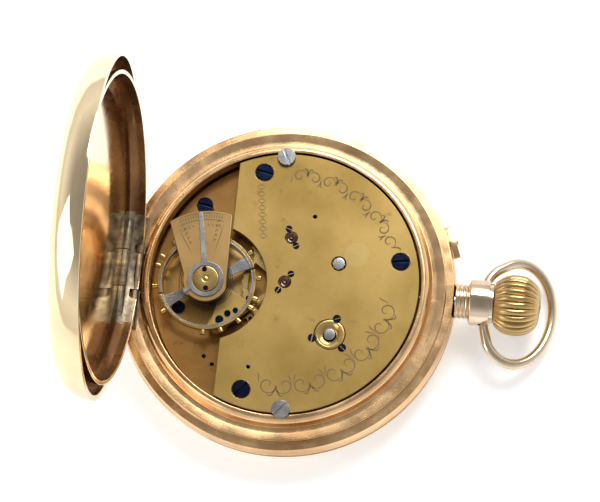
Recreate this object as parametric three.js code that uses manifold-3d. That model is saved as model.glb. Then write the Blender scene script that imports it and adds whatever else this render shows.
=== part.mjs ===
// Hunter pocket watch lying on its front lid, with the back cover and the inner dust cover standing open.
// Millimetres, +Z up. Origin: centre of the flat outer face of the front lid. +X runs out along the crown.
import * as THREE from "three";
import { mergeVertices } from "three/addons/utils/BufferGeometryUtils.js";
import Module from "manifold-3d";

const wasm = await Module();
wasm.setup();

// ---------------------------------------------------------------- driving dimensions
const GAP = 0.05; // static gap between neighbouring pieces
const FINE = 36; // sides of the case rings
const BAND_R = 25.8; // widest radius of the case middle
const SEAT_R = 25.5; // outer edge of the seat under the back cover
const SEAT_Z = 7.0;
const STEP_R = 24.25; // raised ring inside the back cover
const STEP_Z = 7.76;
const BOSS_R = 21.75; // boss that the dust cover snaps over
const LIP_Z = 9.3; // top of the boss
const BORE_R = 20.62; // bore that the movement sits in
const FRONT_Z = 3.45; // front face of the case middle
const STEM_Z = 6.0; // height of the stem, crown and pendant axis
const FOOT_R = 13; // flat centre of the front lid, which the watch lies on
const COVER_R = 25.35; // back cover rim
const DUST_R = 22.8; // dust cover rim
const BACK_HINGE = { x: -24.3, z: 7.3, r: 0.7, half: 7.4, middle: 2.9, open: 88.3 };
const DUST_HINGE = { x: -22.6, z: 8.25, r: 0.6, half: 8.7, middle: 2.9, open: 91.9 };
const LID_HINGE = { x: -25.0, z: 3.45, r: 0.6, half: 5.8, middle: 2.0, open: 0 };
const BOW_DROOP = 24; // degrees that the bow hangs below the pendant axis
const BOW_SKEW = -7; // degrees that the bow sits out of square

const PLATE = { r: 20.3, z0: 8.0, z1: 9.2, edgeX: -8.8 }; // three-quarter plate
const PILLAR = { r: 20.35, z0: 5.2, z1: 6.4 }; // pillar plate
const SCREW_RING = 17.75; // radius of the plate screws
const SCREW_ANGLES = [106, 14.8, 254.5];
const CASE_SCREW_RING = 19.8;
const CASE_SCREW_ANGLES = [95, -85.5];
const SET_PIN_ANGLE = 21.1;
const LIP_ANGLE = 49; // thumb lip of the front lid

// arbors of the going train; the seconds arbor is the centre of the watch
const CENTRE = [0, 0];
const THIRD = [0.3, 7.0];
const GREAT = [7.9, 3.5]; // one turn an hour
const BARREL = [7.6, -7.6];
const BALANCE = [-11.78, -0.88];
const ESCAPE = [-6.1, -4.0];
const PALLET_REACH = 3.6; // balance axis to pallet axis
const MINUTE = [2.78, 4.4];
const CROWN_WHEEL = [13.6, -2.2];
const CLICK = [12.68, -11.16];
const SET_LEVER = [14.6, 10.0];
const BRIDGE_FOOT = [-9.6, -7.2];
const CUTOUT_R = 9.1; // cut-out of the plate round the balance
const ARM_ANGLE = 31; // balance arms
const POINTER_ANGLE = 100.5; // regulator pointer

// ---------------------------------------------------------------- materials
const look = (color, roughness, metalness = 1) =>
  new THREE.MeshStandardMaterial({ color, roughness, metalness });
const gold = look(0xe3b778, 0.22);
const gilt = look(0xb8924e, 0.45);
const brass = look(0xc9a24f, 0.35);
const steel = look(0x9b9b98, 0.25);
const blued = look(0x1b2a52, 0.25);
const solder = look(0x8a8672, 0.6);
const enamel = look(0xf4f1e6, 0.2, 0);
const glass = look(0xffffff, 0.05, 0);
glass.transparent = true;
glass.opacity = 0.2;

// ---------------------------------------------------------------- solids
const rad = (degrees) => (degrees * Math.PI) / 180;
const polar = (radius, degrees, [x, y] = [0, 0]) => [
  x + radius * Math.cos(rad(degrees)),
  y + radius * Math.sin(rad(degrees)),
];
const angleOf = ([ax, ay], [bx, by]) => (Math.atan2(by - ay, bx - ax) * 180) / Math.PI;

// A closed geometry as a solid with its faces outwards.
function solid(geometry) {
  const bare = geometry.index ? geometry.toNonIndexed() : geometry.clone();
  bare.deleteAttribute("normal");
  bare.deleteAttribute("uv");
  const merged = mergeVertices(bare, 1e-4);
  const p = merged.attributes.position;
  const kept = [];
  let volume = 0;
  const a = new THREE.Vector3();
  const b = new THREE.Vector3();
  const c = new THREE.Vector3();
  for (let i = 0; i < merged.index.count; i += 3) {
    const [i0, i1, i2] = [0, 1, 2].map((k) => merged.index.getX(i + k));
    if (i0 === i1 || i1 === i2 || i2 === i0) continue;
    kept.push(i0, i1, i2);
    a.fromBufferAttribute(p, i0);
    b.fromBufferAttribute(p, i1);
    c.fromBufferAttribute(p, i2);
    volume += a.dot(b.cross(c));
  }
  if (volume < 0) {
    for (let i = 0; i < kept.length; i += 3) [kept[i + 1], kept[i + 2]] = [kept[i + 2], kept[i + 1]];
  }
  return new wasm.Manifold(
    new wasm.Mesh({ numProp: 3, vertProperties: p.array, triVerts: new Uint32Array(kept) }),
  );
}

// A profile of [radius, height] pairs turned round the Z axis.
function turned(profile, sides = FINE) {
  const points = profile.map(([r, z]) => new THREE.Vector2(r, z));
  points.push(points[0].clone());
  return solid(new THREE.LatheGeometry(points, sides).rotateX(Math.PI / 2));
}

// The same profile turned round an axis along +X at the height of the stem; heights become x.
const turnedOnStem = (profile, sides) => turned(profile, sides).rotate([0, 90, 0]).translate([0, 0, STEM_Z]);

// An outline of [x, y] pairs between two heights.
function slab(outline, z0, z1) {
  const shape = new THREE.Shape(outline.map(([x, y]) => new THREE.Vector2(x, y)));
  const geometry = new THREE.ExtrudeGeometry(shape, { depth: z1 - z0, bevelEnabled: false });
  return solid(geometry).translate([0, 0, z0]);
}

const circle = (r, sides, [x, y] = [0, 0], from = 0) =>
  Array.from({ length: sides }, (_, i) => polar(r, from + (360 * i) / sides, [x, y]));
const disc = (at, r, z0, z1, sides = 24) => slab(circle(r, sides, at), z0, z1);
const block = (x0, x1, y0, y1, z0, z1) => slab([[x0, y0], [x1, y0], [x1, y1], [x0, y1]], z0, z1);
const join = (...parts) => parts.reduce((a, b) => a.add(b));
const cut = (body, ...tools) => tools.reduce((a, b) => a.subtract(b), body);

// A bar with round ends between two points.
function bar(from, to, r, z0, z1, sides = 12) {
  const along = angleOf(from, to);
  const half = sides / 2;
  const end = (at, start) =>
    Array.from({ length: half + 1 }, (_, i) => polar(r, start + (180 * i) / half, at));
  return slab([...end(to, along - 90), ...end(from, along + 90)], z0, z1);
}

// A round rod between two points in space.
function rod(from, to, r, sides = 10) {
  const a = new THREE.Vector3(...from);
  const b = new THREE.Vector3(...to);
  const geometry = new THREE.CylinderGeometry(r, r, a.distanceTo(b), sides);
  const along = b.clone().sub(a).normalize();
  const turn = new THREE.Quaternion().setFromUnitVectors(new THREE.Vector3(0, 1, 0), along);
  geometry.applyQuaternion(turn).translate(...a.add(b).multiplyScalar(0.5).toArray());
  return solid(geometry);
}

// A toothed disc: one root point and one tip point for each tooth. Wheels of more than 30 teeth are
// solid-modelled with every second tooth.
function gear(at, teeth, root, tip, z0, z1) {
  const made = teeth > 30 ? Math.round(teeth / 2) : teeth;
  const outline = Array.from({ length: 2 * made }, (_, i) => polar(i % 2 ? tip : root, (180 * i) / made, at));
  return slab(outline, z0, z1);
}

// A flat strip that follows a spiral, widening from r0 to r1.
function spiral(at, r0, r1, turns, width, z0, z1, steps) {
  const edge = (offset) =>
    Array.from({ length: steps + 1 }, (_, i) =>
      polar(r0 + ((r1 - r0) * i) / steps + offset, (360 * turns * i) / steps, at),
    );
  return slab([...edge(width / 2), ...edge(-width / 2).reverse()], z0, z1);
}

// An arc strip between two radii and two angles about a point.
function arcStrip(at, r0, r1, from, to, z0, z1, steps = 12) {
  const edge = (r) =>
    Array.from({ length: steps + 1 }, (_, i) => polar(r, from + ((to - from) * i) / steps, at));
  return slab([...edge(r1), ...edge(r0).reverse()], z0, z1);
}

// A screw standing on its point: slotted head over a shank.
function screw(at, headR, shankR, z0, zHead, z1, slotAngle, sides = 10) {
  const slotDepth = 0.18;
  const along = polar(headR * 2, slotAngle);
  const slot = bar([at[0] - along[0], at[1] - along[1]], [at[0] + along[0], at[1] + along[1]], 0.16,
    z1 - slotDepth, z1 + 1, 4);
  return cut(join(disc(at, headR, zHead, z1, sides), disc(at, shankR, z0, zHead + 0.01, 6)), slot);
}

const root = new THREE.Group();

// Adds one named piece to the watch.
function piece(name, body, material) {
  const tidy = body.simplify ? body.simplify(0.002) : body;
  const data = tidy.getMesh();
  const geometry = new THREE.BufferGeometry();
  const positions = new Float32Array(data.numVert * 3);
  for (let i = 0; i < data.numVert; i++) {
    positions.set(data.vertProperties.subarray(i * data.numProp, i * data.numProp + 3), 3 * i);
  }
  geometry.setAttribute("position", new THREE.BufferAttribute(positions, 3));
  geometry.setIndex(new THREE.BufferAttribute(data.triVerts, 1));
  const mesh = new THREE.Mesh(geometry, material);
  mesh.name = name;
  root.add(mesh);
}

// ---------------------------------------------------------------- hinges
const knuckle = (hinge, y0, y1, r = hinge.r) => rod([hinge.x, y0, hinge.z], [hinge.x, y1, hinge.z], r, 8);
const pinHole = (hinge) => knuckle(hinge, -hinge.half - 1, hinge.half + 1, 0.32);
const hingePin = (hinge) => knuckle(hinge, -hinge.half, hinge.half, 0.22);

// The two outer knuckles with the web that ties each to its own piece.
function outerKnuckles(hinge, web) {
  const ends = [-1, 1].map((side) => {
    const y = [side * (hinge.middle + GAP), side * hinge.half].sort((p, q) => p - q);
    return join(knuckle(hinge, ...y), block(web.x0, web.x1, ...y, web.z0, web.z1));
  });
  return join(...ends);
}

// Cuts a cover clear of the outer knuckles and gives it the middle one.
function hinged(cover, hinge, { x, end, z0, z1 }) {
  const y = hinge.middle - GAP;
  const clear = [block(-27, x, y, end, z0, z1), block(-27, x, -end, -y, z0, z1)];
  return cut(join(cut(cover, ...clear), knuckle(hinge, -y, y)), pinHole(hinge));
}

// Swings a piece made in its closed place to its open place.
function opened(body, hinge) {
  return body.translate([-hinge.x, 0, -hinge.z]).rotate([0, -hinge.open, 0]).translate([hinge.x, 0, hinge.z]);
}

// ---------------------------------------------------------------- case
function caseMiddle() {
  const ring = turned([
    [21.05, FRONT_Z], [25.3, FRONT_Z], [BAND_R, 4.4], [BAND_R, 5.7], [SEAT_R, SEAT_Z],
    [STEP_R + 0.05, SEAT_Z], [STEP_R, STEP_Z], [22.9, 7.6], [22.2, 7.6],
    [BOSS_R, 8.85], [21.2, LIP_Z], [BORE_R, LIP_Z], [BORE_R, 6.75], [23.3, 6.75], [23.3, 5.5],
    [BORE_R, 5.5], [BORE_R, 5.15], [21.05, 5.15],
  ]);
  const body = cut(
    ring,
    block(-27, -23.5, -7.7, 7.7, 6.15, 10),
    block(-23.4, -21.9, -8.9, 8.9, 7.5, 10),
    block(-27, -24.2, -6, 6, 2.6, 4.4),
    rod([22, 0, STEM_Z], [27, 0, STEM_Z], 0.88, 12),
    rod([...polar(20, SET_PIN_ANGLE), 4.8], [...polar(27, SET_PIN_ANGLE), 4.8], 0.45, 10),
    rod([...polar(25.2, SET_PIN_ANGLE), 4.8], [...polar(27, SET_PIN_ANGLE), 4.8], 0.68, 12),
  );
  const knuckles = join(
    outerKnuckles(BACK_HINGE, { x0: -24.9, x1: -23.4, z0: 6.1, z1: 7.3 }),
    outerKnuckles(DUST_HINGE, { x0: -23.2, x1: -21.85, z0: 7.4, z1: 8.25 }),
    outerKnuckles(LID_HINGE, { x0: -25.0, x1: -24.1, z0: 3.3, z1: 4.0 }),
  );
  return cut(join(body, knuckles), pinHole(BACK_HINGE), pinHole(DUST_HINGE), pinHole(LID_HINGE));
}

function frontLid() {
  const bowl = (r) => 2.9 * ((r - FOOT_R) / 12.4) ** 2.4;
  const radii = [16.5, 20.5, 22.8, 24.6];
  const wall = 0.5;
  const shell = turned([
    [0, 0], [FOOT_R, 0], ...radii.map((r) => [r, bowl(r)]), [25.65, 2.95], [25.7, 3.4], [24.9, 3.4],
    ...radii.map((r) => [r - 0.1, bowl(r) + wall]).reverse(), [FOOT_R, wall], [0, wall],
  ]);
  const lip = arcStrip([0, 0], 25.4, 26.25, LIP_ANGLE - 5.5, LIP_ANGLE + 5.5, 2.95, 3.35, 6);
  return hinged(join(shell, lip), LID_HINGE, { x: -23.9, end: 5.9, z0: 2.6, z1: 5 });
}

function backCover() {
  const shell = turned([
    [24.5, 7.05], [COVER_R, 7.05], [COVER_R, 7.9], [25.0, 9.6], [24.0, 11.1], [22.3, 12.0], [17, 12.65],
    [0, 12.85], [0, 12.4], [16.9, 12.2], [22.1, 11.55], [23.6, 10.7], [24.45, 9.4], [24.7, 7.9],
  ]);
  return opened(hinged(shell, BACK_HINGE, { x: -22.5, end: 9.0, z0: 6, z1: 9.1 }), BACK_HINGE);
}
function innerCover() {
  const shell = turned([
    [22.2, 7.75], [DUST_R, 7.75], [22.6, 9.7], [21.7, 11.0], [20.3, 11.5], [0, 11.6], [0, 11.2],
    [20.5, 11.1], [21.6, 10.3], [22.15, 9.1],
  ]);
  return opened(hinged(shell, DUST_HINGE, { x: -21.75, end: 8.9, z0: 7, z1: 9.0 }), DUST_HINGE);
}

const bezel = () =>
  turned([
    [20.9, 1.82], [21.6, 1.95], [24.25, 3.05], [24.25, 3.4], [20.95, 3.4], [20.95, 2.55],
    [21.33, 2.55], [21.33, 1.97], [20.9, 1.97],
  ]);
const crystal = () => turned([[0, 2.02], [21.28, 2.02], [21.28, 2.5], [0, 2.5]]);

function pendant() {
  const outside = turnedOnStem([
    [0, 25.3], [2.5, 25.3], [2.5, 27.5], [3.45, 28.3], [3.45, 30.95], [0, 30.95],
  ], 24);
  const bowHole = (side) => rod([30, side * 2.2, STEM_Z], [30, side * 4, STEM_Z], 0.68, 12);
  return cut(outside, disc(CENTRE, BAND_R + GAP, 0, 12, 72), bowHole(1), bowHole(-1),
    rod([24, 0, STEM_Z], [33, 0, STEM_Z], 1.65, 12));
}

// Crown with its flutes: the outline radius rises and falls round the axis.
function crown() {
  const flutes = 24;
  const profile = [[3.4, 31.65], [4.4, 33.0], [4.65, 34.9], [4.3, 36.8], [2.6, 38.4]];
  const sides = 2 * flutes;
  const positions = [];
  const point = ([r, x], i) => {
    const ripple = i % 2 ? 1 : 0.94;
    const [y, z] = polar(r * ripple, (360 * i) / sides);
    return [x, y, z + STEM_Z];
  };
  const quad = (a, b, c, d) => positions.push(...a, ...b, ...c, ...a, ...c, ...d);
  for (let i = 0; i < sides; i++) {
    for (let k = 0; k + 1 < profile.length; k++) {
      const [p, q] = [profile[k], profile[k + 1]];
      quad(point(p, i), point(p, i + 1), point(q, i + 1), point(q, i));
    }
    const last = profile.at(-1);
    positions.push(...point(profile[0], i), 31.65, 0, STEM_Z, ...point(profile[0], i + 1));
    positions.push(...point(last, i), ...point(last, i + 1), 38.6, 0, STEM_Z);
  }
  const geometry = new THREE.BufferGeometry();
  geometry.setAttribute("position", new THREE.Float32BufferAttribute(positions, 3));
  return cut(solid(geometry), rod([31, 0, STEM_Z], [32.35, 0, STEM_Z], 3.05, 24),
    rod([32, 0, STEM_Z], [35.6, 0, STEM_Z], 0.5, 12));
}

// Bow: a round wire bent into an oval whose two ends turn in towards the pendant.
function bow() {
  const [centreX, halfX, halfY] = [5.5, 5.75, 7.95];
  const start = 180 - (Math.acos((centreX - 0.15) / halfX) * 180) / Math.PI;
  const points = [];
  for (let t = start; t >= -start - 0.01; t -= start / 14) {
    const x = centreX + halfX * Math.cos(rad(t));
    const y = halfY * Math.sin(rad(t));
    const skew = rad(BOW_SKEW) * Math.min(1, Math.abs(x) / 2);
    points.push(new THREE.Vector3(x, y, 0).applyAxisAngle(new THREE.Vector3(0, 0, 1), skew));
  }
  const section = new THREE.Shape(circle(0.78, 8).map(([x, y]) => new THREE.Vector2(x, y)));
  const wire = solid(new THREE.ExtrudeGeometry(section, {
    steps: 30, extrudePath: new THREE.CatmullRomCurve3(points), bevelEnabled: false,
  }));
  const away = disc([0, 0], 3.62, -3, 3, 32).rotate([0, 90, 0]);
  const ends = [1, -1].map((side) => rod([0, side * 2.4, 0], [0, side * 4.3, 0], 0.5, 10));
  return join(cut(wire, away), ...ends).rotate([0, BOW_DROOP, 0]).translate([30, 0, STEM_Z]);
}

function setPinGuard() {
  const reach = 2.6;
  const outline = [[-reach, -0.35], [0, -1.1], [reach, -0.35], [reach, 0.35], [0, 1.1], [-reach, 0.35]];
  const upright = slab(outline, 24, 26.75).rotate([90, 0, 90]).translate([0, 0, 4.9]);
  const plug = upright.rotate([0, 0, SET_PIN_ANGLE]);
  return cut(plug, disc(CENTRE, BAND_R + GAP, 0, 12, 72),
    rod([...polar(24, SET_PIN_ANGLE), 4.8], [...polar(28, SET_PIN_ANGLE), 4.8], 0.68, 12));
}

const setPin = () =>
  join(
    rod([...polar(18.9, SET_PIN_ANGLE), 4.8], [...polar(26.2, SET_PIN_ANGLE), 4.8], 0.32, 10),
    rod([...polar(26.15, SET_PIN_ANGLE), 4.8], [...polar(27.05, SET_PIN_ANGLE), 4.8], 0.55, 12),
  );

piece("case_middle", caseMiddle(), gold);
piece("pendant", pendant(), gold);
piece("front_lid", frontLid(), gold);
piece("back_cover", backCover(), gold);
piece("inner_cover", innerCover(), gold);
piece("front_bezel", bezel(), gold);
piece("crystal", crystal(), glass);
piece("front_hinge_pin", hingePin(LID_HINGE), steel);
piece("back_hinge_pin", hingePin(BACK_HINGE), solder);
piece("inner_hinge_pin", hingePin(DUST_HINGE), solder);
piece("bow", bow(), gold);
piece("crown", crown(), gold);
piece("winding_stem", rod([14.7, 0, STEM_Z], [35.5, 0, STEM_Z], 0.42, 12), steel);
piece("stem_sleeve", cut(
  join(
    rod([23.25, 0, STEM_Z], [30.9, 0, STEM_Z], 0.8, 12),
    rod([26.4, 0, STEM_Z], [30.9, 0, STEM_Z], 1.5, 12),
  ),
  rod([23, 0, STEM_Z], [31, 0, STEM_Z], 0.55, 8),
), steel);
piece("set_pin", setPin(), gold);
piece("set_pin_guard", setPinGuard(), gold);
piece("lid_spring", arcStrip(CENTRE, 22.3, 23.1, 105, 165, 5.6, 6.65), steel);
piece("lock_spring", cut(arcStrip(CENTRE, 22.3, 23.1, -65, 6, 5.55, 6.7, 14),
  block(21, 24, -0.9, 0.55, 5, 6.45)), steel);

// ---------------------------------------------------------------- movement plates
const plateScrews = SCREW_ANGLES.map((a) => polar(SCREW_RING, a));
const caseScrews = CASE_SCREW_ANGLES.map((a) => polar(CASE_SCREW_RING, a));
const cockScrew = polar(12.2, 97.8, BALANCE);
const toPallet = angleOf(BALANCE, ESCAPE);
const PALLET = polar(PALLET_REACH, toPallet, BALANCE);

function pillarPlate() {
  const plate = turned([
    [19, 4.45], [20.95, 4.45], [20.95, 5.08], [PILLAR.r, 5.08], [PILLAR.r, PILLAR.z1], [0, PILLAR.z1],
    [0, PILLAR.z0], [19, PILLAR.z0],
  ]);
  const pillars = plateScrews.map((at) => disc(at, 1.3, PILLAR.z1 - 0.1, PLATE.z0 - GAP, 16));
  const stud = (at, r) => disc(at, r, 4.55, PILLAR.z0 + 0.1, 10);
  const studs = [stud(MINUTE, 0.25), stud(CROWN_WHEEL, 0.45)];
  const pinNotch = block(17, 22, -0.6, 0.6, 4.3, 5.15).rotate([0, 0, SET_PIN_ANGLE]);
  return cut(
    join(plate, ...pillars, ...studs),
    disc(BARREL, 9.85, 5.75, 7.9, 48),
    block(14, 22, -1.1, 1.1, 5.12, 7),
    pinNotch,
    disc(CENTRE, 0.35, 4, 7, 12),
    disc(GREAT, 0.62, 4, 7, 12),
    disc(BARREL, 1.05, 4, 7, 16),
    disc(cockScrew, 0.5, 5.6, 7, 10),
    ...plateScrews.map((at) => disc(at, 0.55, 6.9, 9, 10)),
    ...caseScrews.map((at) => disc(at, 0.5, 5.6, 7, 10)),
  );
}

function threeQuarterPlate() {
  return cut(
    disc(CENTRE, PLATE.r, PLATE.z0, PLATE.z1, FINE),
    block(-22, PLATE.edgeX, -22, 22, 7, 11),
    disc(BALANCE, CUTOUT_R, 7, 11, 48),
    ...plateScrews.map((at) => join(disc(at, 1.45, 8.75, 11, 14), disc(at, 0.6, 7, 9, 8))),
    ...caseScrews.map((at) => disc(at, 0.5, 7, 11, 10)),
    disc(CENTRE, 0.96, 7, 11, 12),
    disc(THIRD, 0.96, 7, 11, 12),
    disc(GREAT, 1.12, 7, 11, 12),
    disc(BARREL, 2.38, 7, 11, 18),
  );
}

function balanceCock() {
  const arcAngles = [74.5, 83, 92, 101, 110, 118.5, 127];
  const table = slab([
    ...arcAngles.map((a) => polar(10.8, a, BALANCE)), polar(3.45, 172, BALANCE), polar(3.45, -22, BALANCE),
  ], 9.8, 10.5);
  const hub = disc(BALANCE, 3.45, 9.8, 10.5, 24);
  const lobe = disc(polar(3.2, 217, BALANCE), 0.75, 9.8, 10.5, 12);
  const riser = arcStrip(BALANCE, 9.4, 10.7, 79, 124, 8.4, 9.9, 8);
  const foot = arcStrip(BALANCE, 9.4, 13.4, 79, 119, PILLAR.z1 + GAP, 8.6, 8);
  const inside = disc(CENTRE, PLATE.r - 0.1, 0, 20, FINE);
  return cut(join(table, hub, lobe, riser, foot).intersect(inside), disc(BALANCE, 0.35, 5, 12, 12),
    disc(cockScrew, 0.55, 5, 12, 10));
}

function escapementBridge() {
  const [z0, z1] = [8.0, 8.4];
  const arms = join(bar(PALLET, BRIDGE_FOOT, 1.1, z0, z1), bar(ESCAPE, BRIDGE_FOOT, 1.2, z0, z1),
    bar(PALLET, ESCAPE, 1.1, z0, z1));
  const leg = disc(BRIDGE_FOOT, 1.4, PILLAR.z1 + GAP, z0 + 0.1, 16);
  return cut(join(arms, leg), disc(PALLET, 0.22, 7, 9, 10), disc(ESCAPE, 0.24, 7, 9, 10));
}

// Jewel in its setting, with a hole for the pivot.
const jewel = (at) => cut(disc(at, 0.88, 8.1, 9.15, 12), disc(at, 0.26, 8, 10, 8));
const arborSink = () =>
  turned([[0.8, 8.2], [2.28, 8.2], [2.28, 9.15], [1.9, 9.15], [0.8, 8.75]], 18)
    .translate([...BARREL, 0]);

piece("pillar_plate", pillarPlate(), gilt);
piece("three_quarter_plate", threeQuarterPlate(), gilt);
piece("balance_cock", balanceCock(), gilt);
piece("escapement_bridge", escapementBridge(), gilt);
piece("centre_jewel", jewel(CENTRE), brass);
piece("third_jewel", jewel(THIRD), brass);
piece("barrel_arbor_sink", arborSink(), brass);
plateScrews.forEach((at, i) =>
  piece("plate_screw_" + (i + 1), screw(at, 1.32, 0.45, 7.1, 8.8, 9.35, [-12, 8, 50][i]), blued));
caseScrews.forEach((at, i) =>
  piece("case_screw_" + (i + 1), screw(at, 1.38, 0.4, 5.8, LIP_Z + GAP, 9.8, [-65, 50][i]), steel));
piece("cock_screw", screw(cockScrew, 1.25, 0.42, 5.8, 8.65, 9.15, -12), blued);

// ---------------------------------------------------------------- going train
function barrel() {
  const body = join(gear(BARREL, 72, 9.3, 9.58, 6.45, 6.95), disc(BARREL, 9.25, 5.8, 6.95, 36));
  return cut(body, disc(BARREL, 8.6, 6.0, 8, 36), disc(BARREL, 1.0, 5, 7, 16));
}
const barrelCover = () => cut(disc(BARREL, 8.5, 6.74, 6.92, 36), disc(BARREL, 1.0, 6, 8, 16));
const barrelArbor = () =>
  join(disc(BARREL, 0.88, 4.5, 7.4, 12), disc(BARREL, 0.72, 7.3, 9.2, 12), disc(BARREL, 1.5, 6.1, 6.6, 12));

// Arbor, wheel and pinion on one axis.
function wheel(at, { arbor, teeth, root, tip, z, leaves, pinionTip, pinionZ }) {
  return join(
    ...arbor.map(([r, z0, z1]) => disc(at, r, z0, z1, 8)),
    gear(at, teeth, root, tip, ...z),
    gear(at, leaves, pinionTip * 0.72, pinionTip, ...pinionZ),
  );
}

// Crossings: the windows between the spokes of a wheel.
function crossings(at, spokes, r0, r1, width, z0, z1) {
  const windows = Array.from({ length: spokes }, (_, i) => {
    const middle = (360 * (i + 0.5)) / spokes;
    const open = (r) => 180 / spokes - (Math.asin(width / 2 / r) * 180) / Math.PI;
    const outer = [-1, -0.33, 0.33, 1].map((k) => polar(r1, middle + k * open(r1), at));
    const inner = [1, -1].map((k) => polar(r0, middle + k * open(r0), at));
    return slab([...outer, ...inner], z0, z1);
  });
  return join(...windows);
}

const great = wheel(GREAT, {
  arbor: [[0.5, 4.6, 8.2], [1.0, 8.1, 9.22]], teeth: 80, root: 7.24, tip: 7.5, z: [7.1, 7.28],
  leaves: 12, pinionTip: 1.47, pinionZ: [6.46, 7.11],
});
const third = wheel(THIRD, {
  arbor: [[0.22, 6.45, 8.06], [0.17, 8.0, 9.1]], teeth: 75, root: 5.95, tip: 6.2, z: [7.42, 7.58],
  leaves: 10, pinionTip: 0.82, pinionZ: [7.05, 7.43],
});
const fourth = wheel(CENTRE, {
  arbor: [[0.2, 2.7, 9.1]], teeth: 70, root: 6.44, tip: 6.7, z: [7.72, 7.86],
  leaves: 10, pinionTip: 0.75, pinionZ: [7.37, 7.73],
});
piece("barrel", barrel(), brass);
piece("barrel_cover", barrelCover(), brass);
piece("barrel_arbor", barrelArbor(), steel);
piece("mainspring", spiral(BARREL, 2.1, 8.2, 4, 0.3, 6.08, 6.66, 56), blued);
piece("centre_wheel", cut(great, crossings(GREAT, 5, 2.2, 6.5, 0.9, 7, 7.4)), brass);
piece("third_wheel", cut(third, crossings(THIRD, 5, 1.8, 5.3, 0.8, 7.4, 7.7)), brass);
piece("fourth_wheel", cut(fourth, crossings(CENTRE, 5, 1.8, 5.8, 0.8, 7.7, 7.9)), brass);

function escapeWheel() {
  const teeth = 15;
  const outline = [];
  for (let i = 0; i < teeth; i++) {
    const a = (360 * i) / teeth;
    outline.push(polar(1.75, a - 9, ESCAPE), polar(1.75, a + 6, ESCAPE), polar(2.45, a + 9, ESCAPE));
  }
  return join(slab(outline, 7.12, 7.28), disc(ESCAPE, 0.17, 6.45, 8.35, 10),
    gear(ESCAPE, 7, 0.36, 0.53, 7.6, 7.9));
}

// Lever with two pallets towards the escape wheel and a fork towards the balance.
function palletFork() {
  const [z0, z1] = [7.1, 7.3];
  const local = [
    [0.62, 1.15], [0.62, 1.45], [0.1, 1.55], [-0.35, 0.35], [-2.45, 0.16], [-2.55, 0.45], [-2.95, 0.4],
    [-2.9, 0.2], [-2.6, 0.17], [-2.6, -0.17], [-2.9, -0.2], [-2.95, -0.4], [-2.55, -0.45], [-2.45, -0.16],
    [-0.35, -0.35], [0.1, -1.55], [0.62, -1.45], [0.62, -1.15], [0.25, -0.9], [0.3, 0], [0.25, 0.9],
  ];
  const lever = slab(local, z0, z1).rotate([0, 0, toPallet]).translate([...PALLET, 0]);
  return join(lever, disc(PALLET, 0.15, 6.45, 8.35, 10), disc(PALLET, 0.35, 7.0, 7.5, 10));
}

function balanceWheel() {
  const rim = cut(disc(BALANCE, 7.5, 8.6, 9.4, 36), disc(BALANCE, 6.85, 8, 10, 36));
  const turnAt = (body) => body.rotate([0, 0, ARM_ANGLE]).translate([...BALANCE, 0]);
  const arms = turnAt(block(-7, 7, -0.45, 0.45, 8.75, 9.0));
  const cuts = [0, 180].map((a) => turnAt(block(6, 8.5, -0.15, 0.15, 8, 10).rotate([0, 0, a - 11])));
  const heads = [];
  for (const side of [0, 180]) {
    for (const a of [40, 9, -15, -26, -46, -68, -88]) {
      heads.push(rod([...polar(7.3, a + side, BALANCE), 9], [...polar(8.3, a + side, BALANCE), 9], 0.4, 6));
    }
  }
  const body = cut(join(rim, arms, disc(BALANCE, 1.1, 8.7, 9.05, 16)), ...cuts);
  return cut(join(body, ...heads), disc(BALANCE, 0.36, 8, 10, 12));
}

function balanceStaff() {
  const pinAt = polar(0.88, toPallet, BALANCE);
  return join(
    disc(BALANCE, 0.3, 7.6, 9.5, 12), disc(BALANCE, 0.16, 6.5, 10.45, 10), disc(BALANCE, 1.05, 7.8, 7.95, 20),
    disc(BALANCE, 0.5, 9.4, 9.7, 12), disc(pinAt, 0.12, 7.4, 7.88, 6),
  );
}

function regulator() {
  const ring = cut(disc(BALANCE, 2.75, 10.55, 10.75, 24), disc(BALANCE, 2.05, 10, 11, 24));
  const tip = polar(10.6, POINTER_ANGLE, BALANCE);
  const side = (r, offset) => polar(r, POINTER_ANGLE + offset, BALANCE);
  const pointer = slab([side(2.4, -14), side(2.4, 14), tip, side(10.4, -0.6)], 10.55, 10.75);
  return join(ring, pointer, bar(side(2.4, 110), side(3.6, 116), 0.3, 10.55, 10.75, 8));
}

piece("escape_wheel", escapeWheel(), brass);
piece("pallet_fork", palletFork(), steel);
piece("balance_wheel", balanceWheel(), brass);
piece("balance_staff", balanceStaff(), steel);
piece("hairspring", spiral(BALANCE, 0.75, 3.1, 4, 0.12, 9.45, 9.65, 48), blued);
piece("regulator_index", regulator(), steel);
piece("cock_endcap", disc(BALANCE, 1.95, 10.55, 10.85, 24), brass);

// ---------------------------------------------------------------- winding and setting work
const KEY_Z = [4.55, 4.95];
const windingPinion = () =>
  cut(gear([0, 0], 12, 0.62, 0.85, 15.6, 17.4).rotate([0, 90, 0]).translate([0, 0, STEM_Z]),
    rod([15, 0, STEM_Z], [18, 0, STEM_Z], 0.5, 12));
const crownWheel = () =>
  cut(join(gear(CROWN_WHEEL, 34, 3.1, 3.35, ...KEY_Z), disc(CROWN_WHEEL, 3.05, 4.9, 5.08, 16)),
    disc(CROWN_WHEEL, 0.52, 4, 6, 12), disc(CROWN_WHEEL, 2.3, 4.96, 6, 16));
const ratchetWheel = () => cut(gear(BARREL, 44, 4.3, 4.6, ...KEY_Z), disc(BARREL, 0.95, 4, 6, 16));

function click() {
  const nose = polar(4.72, angleOf(BARREL, CLICK) + 7, BARREL);
  return join(disc(CLICK, 0.75, ...KEY_Z, 14), bar(CLICK, [nose[0] + 0.12, nose[1]], 0.2, ...KEY_Z, 6));
}

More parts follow.
